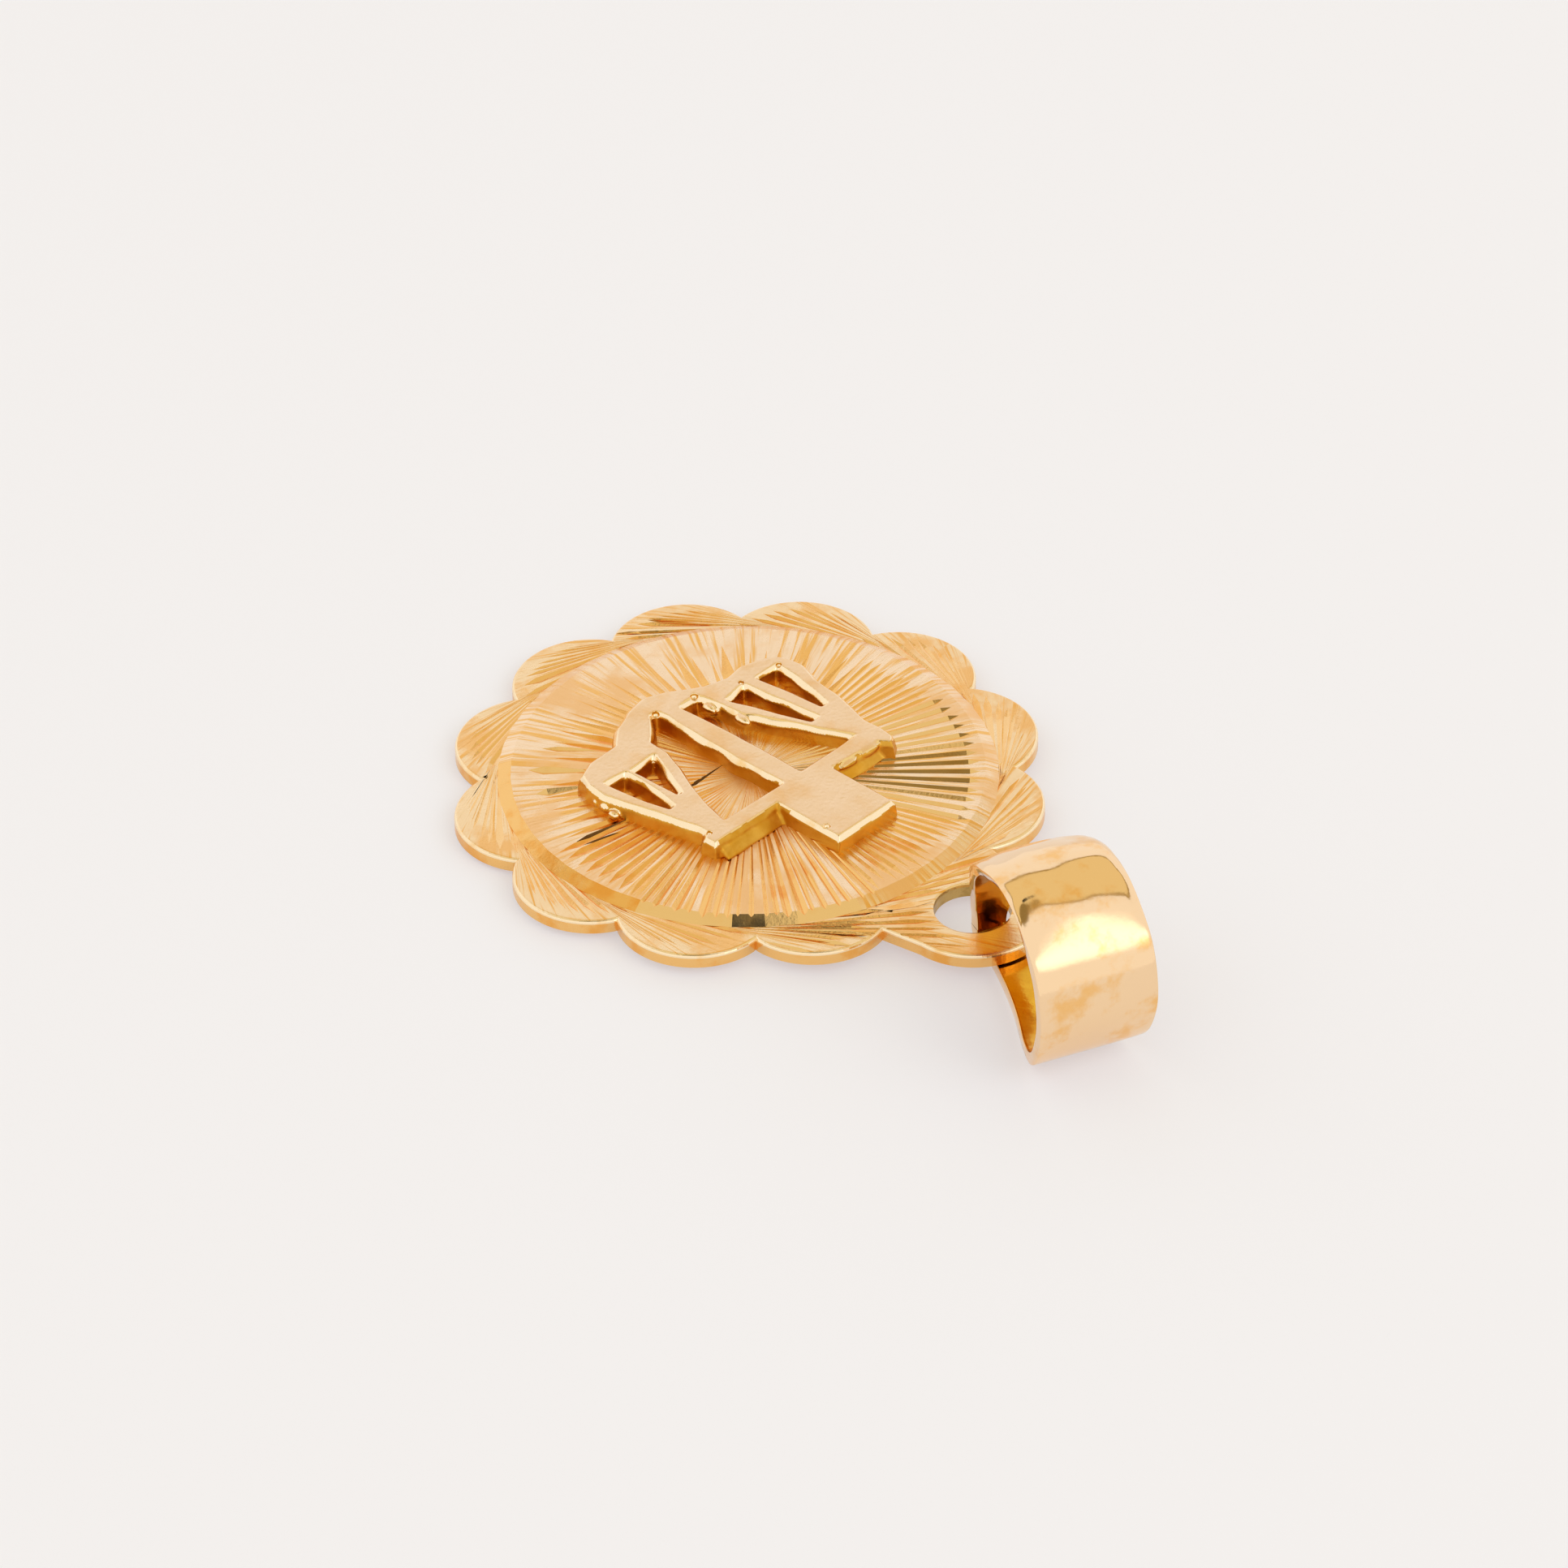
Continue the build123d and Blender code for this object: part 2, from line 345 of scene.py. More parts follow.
def new_group(name, inputs, outputs):
    """Empty shader group with number, vector or colour sockets; returns it with its two ends."""
    group = bpy.data.node_groups.new(name, "ShaderNodeTree")
    kinds = {"number": "NodeSocketFloat", "vector": "NodeSocketVector", "colour": "NodeSocketColor"}
    for label, kind, value in inputs:
        socket = group.interface.new_socket(name=label, in_out="INPUT", socket_type=kinds[kind])
        if value is not None:
            socket.default_value = value
    for label, kind in outputs:
        group.interface.new_socket(name=label, in_out="OUTPUT", socket_type=kinds[kind])
    return group, node(group, "NodeGroupInput", (-900, 0)), node(group, "NodeGroupOutput", (900, 0))


def make_grain():
    """Fine cast grain: a height for bump and an uneven gloss."""
    group, start, end = new_group(
        "cast grain",
        [("Place", "vector", None), ("Size", "number", 9000.0), ("Smooth", "number", 0.2),
         ("Matt", "number", 0.4)],
        [("Height", "number"), ("Roughness", "number")])
    links = group.links
    fine = node(group, "ShaderNodeTexNoise", (-500, 200))
    fine.inputs["Detail"].default_value = 3.0
    links.new(start.outputs["Place"], fine.inputs["Vector"])
    links.new(start.outputs["Size"], fine.inputs["Scale"])
    broad = node(group, "ShaderNodeTexNoise", (-500, -100))
    broad.inputs["Scale"].default_value = 700.0
    broad.inputs["Detail"].default_value = 4.0
    links.new(start.outputs["Place"], broad.inputs["Vector"])
    gloss = node(group, "ShaderNodeMapRange", (0, -100))
    gloss.inputs["From Min"].default_value = 0.35
    gloss.inputs["From Max"].default_value = 0.65
    links.new(broad.outputs["Fac"], gloss.inputs["Value"])
    links.new(start.outputs["Smooth"], gloss.inputs["To Min"])
    links.new(start.outputs["Matt"], gloss.inputs["To Max"])
    links.new(fine.outputs["Fac"], end.inputs["Height"])
    links.new(gloss.outputs["Result"], end.inputs["Roughness"])
    return group


def make_tarnish():
    """Warm patches where the polish has worn off: a mask from 0 to 1."""
    group, start, end = new_group(
        "tarnish",
        [("Place", "vector", None), ("Size", "number", 500.0), ("From", "number", 0.5),
         ("To", "number", 0.7)],
        [("Mask", "number")])
    links = group.links
    cloud = node(group, "ShaderNodeTexNoise", (-500, 0))
    cloud.inputs["Detail"].default_value = 5.0
    cloud.inputs["Roughness"].default_value = 0.6
    links.new(start.outputs["Place"], cloud.inputs["Vector"])
    links.new(start.outputs["Size"], cloud.inputs["Scale"])
    mask = node(group, "ShaderNodeMapRange", (0, 0), interpolation_type="SMOOTHSTEP")
    links.new(cloud.outputs["Fac"], mask.inputs["Value"])
    links.new(start.outputs["From"], mask.inputs["From Min"])
    links.new(start.outputs["To"], mask.inputs["From Max"])
    links.new(mask.outputs["Result"], end.inputs["Mask"])
    return group


line_change = 260.0         # how quickly a tool mark changes on its way, a metre
fan_change = 7.3            # how much the marks of one scallop differ from the next


def make_marks():
    """Fine lines that a tool left, fanned out from a point; the fan may repeat round the middle.

    A sector is folded back onto the first one. Its edges swing with the distance from the middle,
    by the angle Swing at Swing From and by nothing at Swing To, so that they follow the notches.
    """
    group, start, end = new_group(
        "tool marks",
        [("Place", "vector", None), ("Middle", "vector", None), ("Point", "vector", None),
         ("Sector", "number", 2 * math.pi), ("First", "number", 0.0), ("Swing", "number", 0.0),
         ("Swing From", "number", 1.0), ("Swing To", "number", 2.0), ("Lines", "number", 60.0),
         ("From", "number", 0.45), ("To", "number", 0.60)],
        [("Mask", "number"), ("Height", "number")])
    links = group.links

    def worked_out(operation, *ends):
        made = node(group, "ShaderNodeMath", operation=operation)
        for socket, each in zip(made.inputs, ends):
            if isinstance(each, (int, float)):
                socket.default_value = each
            else:
                links.new(each, socket)
        return made.outputs[0]

    def way_from(a, b):
        made = node(group, "ShaderNodeVectorMath", operation="SUBTRACT")
        links.new(a, made.inputs[0])
        links.new(b, made.inputs[1])
        parts = node(group, "ShaderNodeSeparateXYZ")
        links.new(made.outputs["Vector"], parts.inputs[0])
        return parts.outputs["X"], parts.outputs["Y"]

    def length_of(x, y):
        square = worked_out("ADD", worked_out("POWER", x, 2.0), worked_out("POWER", y, 2.0))
        return worked_out("SQRT", square)

    inputs = start.outputs
    x, y = way_from(inputs["Place"], inputs["Middle"])
    angle = worked_out("ARCTAN2", y, x)
    radius = length_of(x, y)
    swing = node(group, "ShaderNodeMapRange")
    links.new(radius, swing.inputs["Value"])
    links.new(inputs["Swing From"], swing.inputs["From Min"])
    links.new(inputs["Swing To"], swing.inputs["From Max"])
    links.new(inputs["Swing"], swing.inputs["To Min"])
    swing.inputs["To Max"].default_value = 0.0
    shifted = worked_out("ADD", worked_out("SUBTRACT", angle, inputs["First"]), swing.outputs["Result"])
    which = worked_out("FLOOR", worked_out("DIVIDE", shifted, inputs["Sector"]))
    folded = worked_out("SUBTRACT", angle, worked_out("MULTIPLY", which, inputs["Sector"]))
    place = node(group, "ShaderNodeCombineXYZ")
    links.new(worked_out("MULTIPLY", radius, worked_out("COSINE", folded)), place.inputs["X"])
    links.new(worked_out("MULTIPLY", radius, worked_out("SINE", folded)), place.inputs["Y"])
    x, y = way_from(place.outputs["Vector"], inputs["Point"])
    line = node(group, "ShaderNodeCombineXYZ")
    links.new(worked_out("MULTIPLY", worked_out("ARCTAN2", y, x), inputs["Lines"]), line.inputs["X"])
    links.new(worked_out("MULTIPLY", length_of(x, y), line_change), line.inputs["Y"])
    links.new(worked_out("MULTIPLY", which, fan_change), line.inputs["Z"])
    noise = node(group, "ShaderNodeTexNoise")
    noise.inputs["Scale"].default_value = 1.0
    noise.inputs["Detail"].default_value = 2.5
    noise.inputs["Roughness"].default_value = 0.6
    links.new(line.outputs["Vector"], noise.inputs["Vector"])
    mask = node(group, "ShaderNodeMapRange", interpolation_type="SMOOTHSTEP")
    links.new(noise.outputs["Fac"], mask.inputs["Value"])
    links.new(inputs["From"], mask.inputs["From Min"])
    links.new(inputs["To"], mask.inputs["From Max"])
    links.new(mask.outputs["Result"], end.inputs["Mask"])
    links.new(noise.outputs["Fac"], end.inputs["Height"])
    return group


grain = make_grain()
tarnish = make_tarnish()
marks = make_marks()

# Where the tool marks fan out from: in the centre from the middle of the rays, on the rim from a
# point at the foot of the centre that repeats with every scallop.
sector = 2 * math.pi / scallops
ray_marks = {
    "Middle": (ray_x * mm, (ray_y + shift_y) * mm, 0),
    "Lines": 42.0,
    "From": 0.46,
    "To": 0.61,
}
fan_marks = {
    "Middle": (0, shift_y * mm, 0),
    "Point": tuple(polar(fan_r * mm, -fan_back)),
    "Sector": sector,
    "First": -sector / 2,
    "Swing": math.radians(fan_back) - sector / 2,
    "Swing From": foot_r * mm,
    "Swing To": notch_r * mm,
    "Lines": 28.0,
    "From": 0.50,
    "To": 0.64,
}


def gold(name, clean, worn, gloss, grained, patches, lines=None, line_colour=None, line_depth=0.0):
    """Gold with cast grain, worn patches and, where lines are given, fine tool marks.

    clean and worn are its two colours. gloss is its roughness where it is smooth and where it is
    matt, grained the fineness and the depth of its grain in millimetres, and patches the fineness
    of the worn patches and the two levels of noise between which they come in.
    """
    smooth, matt = gloss
    grain_size, grain_depth = grained
    patch, patch_from, patch_to = patches
    material = bpy.data.materials.new(name)
    material.use_nodes = True
    tree = material.node_tree
    shader = tree.nodes["Principled BSDF"]
    shader.inputs["Metallic"].default_value = 1.0
    place = node(tree, "ShaderNodeTexCoord", (-1100, 0))
    grainy = node(tree, "ShaderNodeGroup", (-800, 100), node_tree=grain)
    grainy.inputs["Size"].default_value = grain_size
    grainy.inputs["Smooth"].default_value = smooth
    grainy.inputs["Matt"].default_value = matt
    worn_off = node(tree, "ShaderNodeGroup", (-800, -200), node_tree=tarnish)
    worn_off.inputs["Size"].default_value = patch
    worn_off.inputs["From"].default_value = patch_from
    worn_off.inputs["To"].default_value = patch_to
    tree.links.new(place.outputs["Object"], grainy.inputs["Place"])
    tree.links.new(place.outputs["Object"], worn_off.inputs["Place"])
    colour = node(tree, "ShaderNodeMix", (-300, 200), data_type="RGBA")
    colour.inputs["A"].default_value = (*clean, 1)
    colour.inputs["B"].default_value = (*worn, 1)
    tree.links.new(worn_off.outputs["Mask"], colour.inputs["Factor"])
    bump = node(tree, "ShaderNodeBump", (-300, -200))
    bump.inputs["Strength"].default_value = 1.0
    bump.inputs["Distance"].default_value = grain_depth * mm
    tree.links.new(grainy.outputs["Height"], bump.inputs["Height"])
    if lines:
        lined = node(tree, "ShaderNodeGroup", (-800, -500), node_tree=marks)
        for label, value in lines.items():
            lined.inputs[label].default_value = value
        tree.links.new(place.outputs["Object"], lined.inputs["Place"])
        bare = node(tree, "ShaderNodeMix", (-500, 300), data_type="RGBA")
        bare.inputs["A"].default_value = (*clean, 1)
        bare.inputs["B"].default_value = (*line_colour, 1)
        tree.links.new(lined.outputs["Mask"], bare.inputs["Factor"])
        tree.links.new(bare.outputs["Result"], colour.inputs["A"])
        scored = node(tree, "ShaderNodeBump", (-550, -400))
        scored.inputs["Distance"].default_value = line_depth * mm
        tree.links.new(lined.outputs["Height"], scored.inputs["Height"])
        tree.links.new(scored.outputs["Normal"], bump.inputs["Normal"])
    tree.links.new(colour.outputs["Result"], shader.inputs["Base Color"])
    tree.links.new(grainy.outputs["Roughness"], shader.inputs["Roughness"])
    tree.links.new(bump.outputs["Normal"], shader.inputs["Normal"])
    return material


satin = gold(
    "satin gold", (0.93, 0.68, 0.44), (0.90, 0.58, 0.29),
    gloss=(0.28, 0.44), grained=(8000.0, 0.014), patches=(600.0, 0.48, 0.72))
rim_gold = gold(
    "rim gold", (0.95, 0.71, 0.43), (0.91, 0.53, 0.20),
    gloss=(0.24, 0.36), grained=(12000.0, 0.006), patches=(500.0, 0.45, 0.62),
    lines=fan_marks, line_colour=(0.88, 0.46, 0.11), line_depth=0.016)
# Painted shade: a darker, more orange gold for the standing walls of the rim, the lug and the centre.
edge_shade_gold = gold(
    "edge gold, painted shade", (0.93, 0.56, 0.20), (0.90, 0.44, 0.10),
    gloss=(0.16, 0.28), grained=(9000.0, 0.006), patches=(800.0, 0.45, 0.62))
# Painted highlight: a paler gold for the rounded upper edge of the rim.
lip_highlight_gold = gold(
    "lip gold, painted highlight", (1.0, 0.80, 0.52), (0.97, 0.66, 0.32),
    gloss=(0.20, 0.32), grained=(9000.0, 0.004), patches=(800.0, 0.50, 0.66))
centre_gold = gold(
    "centre gold", (0.95, 0.72, 0.49), (0.91, 0.56, 0.26),
    gloss=(0.22, 0.34), grained=(12000.0, 0.006), patches=(350.0, 0.48, 0.66),
    lines=ray_marks, line_colour=(0.89, 0.49, 0.13), line_depth=0.014)
# Painted shade: the cut golds are darker and more orange than the faces they are cut into.
cut = gold(
    "cut gold", (0.92, 0.55, 0.19), (0.88, 0.40, 0.09),
    gloss=(0.14, 0.28), grained=(11000.0, 0.005), patches=(900.0, 0.50, 0.72))
# Painted shade in the scallops' cuts.
fan_cut_shaded = gold(
    "fan cut gold, painted shade", (0.93, 0.60, 0.27), (0.90, 0.47, 0.13),
    gloss=(0.14, 0.26), grained=(11000.0, 0.005), patches=(700.0, 0.45, 0.65))
# Painted shade in the soft cuts.
soft_cut_shaded = gold(
    "soft cut gold, painted shade", (0.92, 0.53, 0.17), (0.91, 0.50, 0.16),
    gloss=(0.18, 0.30), grained=(11000.0, 0.006), patches=(700.0, 0.42, 0.62))
bright_cut = gold(
    "bright cut gold", (0.93, 0.68, 0.40), (0.92, 0.60, 0.27),
    gloss=(0.06, 0.14), grained=(9000.0, 0.0015), patches=(600.0, 0.50, 0.75))
# Painted shade in the deep cuts.
deep_cut_shaded = gold(
    "deep cut gold, painted shade", (0.92, 0.53, 0.18), (0.89, 0.40, 0.08),
    gloss=(0.18, 0.30), grained=(11000.0, 0.006), patches=(700.0, 0.42, 0.62))
# Painted shade: a nearly black gold for the dark scratches.
dark_cut_shaded = gold(
    "dark cut gold, painted shade", (0.20, 0.10, 0.03), (0.12, 0.05, 0.015),
    gloss=(0.35, 0.50), grained=(9000.0, 0.004), patches=(700.0, 0.40, 0.60))
# Painted shade: a darker gold for the wall of the hole.
hole_shade_gold = gold(
    "hole gold, painted shade", (0.62, 0.42, 0.15), (0.45, 0.28, 0.08),
    gloss=(0.25, 0.40), grained=(9000.0, 0.012), patches=(900.0, 0.40, 0.60))
# Painted highlight: a paler gold for the rounded shoulders of the scales.
shoulder_highlight_gold = gold(
    "shoulder gold, painted highlight", (1.0, 0.80, 0.52), (0.95, 0.63, 0.27),
    gloss=(0.12, 0.24), grained=(3600.0, 0.004), patches=(700.0, 0.54, 0.74))
# Painted shade: a darker, browner gold for the steep sides of the scales.
wall_shade_gold = gold(
    "wall gold, painted shade", (0.72, 0.38, 0.05), (0.62, 0.28, 0.02),
    gloss=(0.26, 0.40), grained=(3600.0, 0.008), patches=(900.0, 0.42, 0.62))
strip_gold = gold(
    "bail gold", (0.95, 0.68, 0.41), (0.93, 0.55, 0.21),
    gloss=(0.05, 0.17), grained=(3000.0, 0.003), patches=(700.0, 0.50, 0.66))
# Painted shade: a darker, more orange gold for the inside of the loop.
inside_shade_gold = gold(
    "bail inside gold, painted shade", (0.80, 0.43, 0.035), (0.70, 0.33, 0.02),
    gloss=(0.08, 0.20), grained=(4000.0, 0.004), patches=(400.0, 0.45, 0.60))
# Finishes of the cuts. All but the bright one carry painted shade in their colour.
finishes_and_shades = {
    "cut": cut,
    "fan": fan_cut_shaded,
    "soft": soft_cut_shaded,
    "bright": bright_cut,
    "deep": deep_cut_shaded,
    "dark": dark_cut_shaded,
}


def finished(piece, *materials):
    piece.data.materials.clear()
    for material in materials:
        piece.data.materials.append(material)
    return piece


# Cutters

cut_lift = 0.12             # how far a cutter stands over the surface, as a share of the cut's depth


def wedge(tip):
    """One cut of unit length, half width and depth, from its start along X, widest at the tip share."""
    grown = 1 + cut_lift
    bpy.ops.mesh.primitive_cone_add(vertices=4, radius1=grown, radius2=0, depth=grown,
                                    location=(0, 0, cut_lift - grown / 2), rotation=(math.pi, 0, 0))
    piece = fixed(named("wedge"))
    edit(piece)
    pick(piece, "VERT", lambda v: v.co.x < -0.5)
    bpy.ops.transform.translate(value=(grown - grown * tip, 0, 0))
    pick(piece, "VERT", lambda v: v.co.x > 0.5)
    bpy.ops.transform.translate(value=(-grown * tip, 0, 0))
    bpy.ops.mesh.select_all(action="SELECT")
    bpy.ops.transform.translate(value=(tip, 0, 0))
    leave()
    return piece


def cutters(rows, surface):
    """Joined wedges. A row has the share where its cuts are widest, and its cuts with their start,
    end, half width, depth and finish, whose gold may carry painted shade."""
    made = []
    for tip, cuts in rows:
        pattern = wedge(tip)
        for start, end, half, deep, finish_and_shade in cuts:
            tool = copy_of(pattern)
            way = end - start
            tool.scale = (way.length, half, deep)
            tool.rotation_euler = (0, 0, math.atan2(way.y, way.x))
            tool.location = (start.x, start.y, surface)
            fixed(tool)
            made.append(finished(tool, finishes_and_shades[finish_and_shade]))
        bpy.data.objects.remove(pattern)
    return joined(made)


def stray_cuts(table):
    return [(Vector((x0, y0, 0)), Vector((x1, y1, 0)), half, deep, finish_and_shade)
            for x0, y0, x1, y1, half, deep, finish_and_shade in table]


# Scalloped rim with its lug

def scallop_arc():
    """Distance of a scallop's centre from the middle, and its radius."""
    half = math.radians(180 / scallops)
    centre = (rim_r ** 2 - notch_r ** 2) / (2 * (rim_r - notch_r * math.cos(half)))
    return centre, rim_r - centre


def scallop_edge(off):
    """Distance from the middle to the scallop's edge, that many degrees off its middle."""
    centre, radius = scallop_arc()
    a = math.radians(off)
    return centre * math.cos(a) + math.sqrt(radius ** 2 - (centre * math.sin(a)) ** 2)


def disc(radius, x, y, low, high, sides):
    bpy.ops.mesh.primitive_cylinder_add(vertices=sides, radius=radius, depth=high - low,
                                        location=(x, y, (low + high) / 2))
    return fixed(bpy.context.object)


def fanned(apex, ends, first_share, deep):
    """Cuts from one point to those ends, each as wide as the room it has between its neighbours."""
    ends = sorted(ends, key=lambda end: math.atan2(end.y - apex.y, end.x - apex.x))
    ways = [math.atan2(end.y - apex.y, end.x - apex.x) for end in ends]
    cuts = []
    for k, end in enumerate(ends):
        room = (ways[min(k + 1, len(ways) - 1)] - ways[max(k - 1, 0)]) / (1 + (0 < k < len(ways) - 1))
        way = end - apex
        free = min(room, math.radians(fan_room))
        start = apex + way * (first_share + 0.06 * random.random())
        half = way.length * math.tan(free * fan_fill) * random.uniform(0.7, 1.3)
        cuts.append((start, end, half, min(deep, half * fan_slope), "fan"))
    return cuts


def fan(middle):
    """Cuts of one scallop, fanned out from its point counterclockwise."""
    apex = polar(fan_r, middle - fan_back)
    step = 180 / scallops
    ends = []
    for k in range(fan_cuts):
        share = (k + random.uniform(-0.2, 0.2)) / (fan_cuts - 1)
        off = -step + 1.2 + share * (2 * step - 0.2)
        edge = scallop_edge(max(-step, min(step, off))) - fan_margin
        ends.append(polar(edge * random.uniform(0.993, 1.0), middle + off))
    return fanned(apex, ends, fan_start, fan_deep)


def lug_blank():
    """Flat block between the foot of the centre and the hole, as wide as the lug at its outer end."""
    lug_r = hole_r + lug_wall
    bpy.ops.mesh.primitive_cube_add(size=1, location=(hole_x, (foot_r + hole_y) / 2, plate_t / 2))
    bpy.context.object.scale = (lug_foot_w, hole_y - foot_r, plate_t)
    flank = fixed(bpy.context.object)
    edit(flank)
    pick(flank, "VERT", lambda v: v.co.y > hole_y - 0.01)
    bpy.ops.transform.resize(value=(2 * lug_r / lug_foot_w, 1, 1), center_override=(hole_x, hole_y, 0))
    leave()
    return flank


def round_edges(piece, wanted, size, segments, clamped=True):
    """Rounds the wanted edges to that size."""
    edit(piece)
    pick(piece, "EDGE", wanted)
    bpy.ops.mesh.bevel(offset=size, segments=segments, profile=0.5, clamp_overlap=clamped)
    leave()


def make_rim():
    centre, radius = scallop_arc()
    inner_r = notch_r * 0.97
    discs = [disc(inner_r, 0, 0, 0, plate_t, 96)]
    for k in range(scallops):
        middle = polar(centre, 90 + k * 360 / scallops)
        discs.append(disc(radius, middle.x, middle.y, 0, plate_t, 72))
    discs.append(disc(hole_r + lug_wall, hole_x, hole_y, 0, plate_t, 96))
    discs.append(lug_blank())
    rim = joined(discs)
    rim.name = "scalloped_rim"
    rim.data.name = rim.name
    # A union with one more disc, inside the others, makes one body of them all.
    fuser = disc(notch_r / 2, 0, 0, 0, plate_t, 48)
    combine(rim, fuser, "UNION", self_crossing=True)
    combine(rim, disc(hole_r, hole_x, hole_y, -1, 1, 72), "DIFFERENCE")
    finished(rim, rim_gold, hole_shade_gold, edge_shade_gold, lip_highlight_gold)

    def from_hole(place):
        return math.dist(place[:2], (hole_x, hole_y))

    def standing(face):
        return abs(face.normal.z) < 0.5

    edit(rim)
    bpy.ops.mesh.select_all(action="SELECT")
    bpy.ops.mesh.remove_doubles(threshold=0.03)
    bpy.ops.mesh.dissolve_limited(angle_limit=math.radians(0.5))
    # The hole's wall gets the darker hole gold, painted shade.
    pick(rim, "FACE", lambda f: standing(f) and from_hole(f.calc_center_median()) < hole_r + 0.1)
    given(rim, 1)
    # The outer walls get the edge gold, whose darker colour is painted shade.
    pick(rim, "FACE", lambda f: standing(f) and from_hole(f.calc_center_median()) > hole_r + 0.1)
    given(rim, 2)
    leave()

    def corner(edge, level):
        flat = all(abs(v.co.z - level) < 1e-3 for v in edge.verts)
        return flat and len(edge.link_faces) == 2 and any(standing(f) for f in edge.link_faces)

    def at_hole(edge):
        return all(from_hole(v.co) < hole_r + 0.2 for v in edge.verts)

    round_edges(rim, lambda e: corner(e, plate_t) and not at_hole(e), rim_round, 4, clamped=False)
    # The rounded upper edge gets the paler lip gold, a painted highlight.
    edit(rim)
    pick(rim, "FACE", lambda f: 0.15 < f.normal.z < 0.97)
    given(rim, 3)
    leave()
    round_edges(rim, lambda e: corner(e, plate_t) and at_hole(e), hole_round, 2)
    round_edges(rim, lambda e: corner(e, 0), hole_round, 2)
    cuts = []
    for k in range(1, scallops):
        cuts += fan(90 + k * 360 / scallops)
    ends = [Vector((x, y, 0)) for x, y in lug_ends]
    cuts += fanned(Vector((*lug_apex, 0)), ends, lug_start, lug_deep)
    rows = [(0.88, cuts), (0.80, stray_cuts(fan_strays))]
    combine(rim, cutters(rows, plate_t), "DIFFERENCE", self_crossing=True)
    return rim


# Raised centre with its rays

def make_centre():
    bpy.ops.mesh.primitive_cone_add(vertices=centre_flats, radius1=foot_r, radius2=centre_r,
                                    depth=centre_h, location=(0, 0, plate_t + centre_h / 2),
                                    rotation=(0, 0, math.radians(centre_turn)))
    centre = fixed(named("rayed_centre"))
    finished(centre, centre_gold, bright_cut, edge_shade_gold)
    edit(centre)
    # The polished part of the wall gets the bright cut gold, and the rougher part gets the edge gold with
    # painted shade.
    for slot, (first, last) in enumerate(wall_parts, start=1):
        pick(centre, "FACE", lambda f: 0.3 < f.normal.z < 0.99
             and first < math.degrees(math.atan2(f.normal.y, f.normal.x)) < last)
        given(centre, slot)
    pick(centre, "FACE", lambda f: f.normal.z < -0.9)
    bpy.ops.mesh.extrude_region_move(TRANSFORM_OT_translate={"value": (0, 0, -centre_seat)})
    leave()
    middle = Vector((ray_x, ray_y, 0))
    rows = [(0.80, stray_cuts(ray_strays))]
    for field in rays:
        pitch = (field["last"] - field["first"]) / (field["count"] - 1)
        loose = field["uneven"]
        cuts = []
        for k in range(field["count"]):
            angle = field["first"] + (k + random.uniform(-0.3, 0.3) * loose) * pitch
            size = 1 + random.uniform(-loose, loose) * ray_size_spread
            reach = field["reach"] * (1 + random.uniform(-0.04, 0.01) * loose * 2)
            end = middle + polar(reach, angle)
            start = middle + polar(ray_start + random.random() * ray_start_spread * loose, angle)
            most = reach * math.tan(math.radians(pitch * 0.49))
            half = min(field["wide"] / 2 * size, most)
            cuts.append((start, end, half, field["deep"] * size, field["finish_and_shade"]))
        rows.append((field["tip"], cuts))
    combine(centre, cutters(rows, centre_top), "DIFFERENCE", self_crossing=True)
    return centre


# Scales

def flat_outline(name, outlines, slope):
    """Filled flat curve whose rim slopes out on its way down, as a mesh."""
    curve = bpy.data.curves.new(name, "CURVE")
    curve.dimensions = "2D"
    curve.fill_mode = "BOTH"
    curve.bevel_depth = slope
    curve.bevel_resolution = 1
    for points in outlines:
        spline = curve.splines.new("POLY")
        spline.points.add(len(points) - 1)
        for place, (x, y) in zip(spline.points, points):
            place.co = (x * drawn, y * drawn, 0, 1)
        spline.use_cyclic_u = True
    piece = bpy.data.objects.new(name, curve)
    bpy.context.scene.collection.objects.link(piece)
    take(piece)
    bpy.ops.object.convert(target="MESH")
    return bpy.context.object


def ramp(x0, x1, top, foot):
    """Wedge that runs out from an upper edge to the foot of the figure."""
    bpy.ops.mesh.primitive_cube_add(size=1, location=((x0 + x1) / 2, foot - 0.4, relief_h / 2))
    bpy.context.object.scale = (x1 - x0, 0.8, relief_h)
    piece = fixed(bpy.context.object)
    edit(piece)
    pick(piece, "VERT", lambda v: v.co.z > relief_h / 2 and v.co.y > foot - 0.1)
    bpy.ops.transform.translate(value=(0, top - foot, -0.03))
    leave()
    return piece


def lump(x, y, z, wide, long, high):
    bpy.ops.mesh.primitive_uv_sphere_add(segments=24, ring_count=12, radius=1, location=(x, y, z))
    bpy.context.object.scale = (wide, long, high)
    return fixed(bpy.context.object)


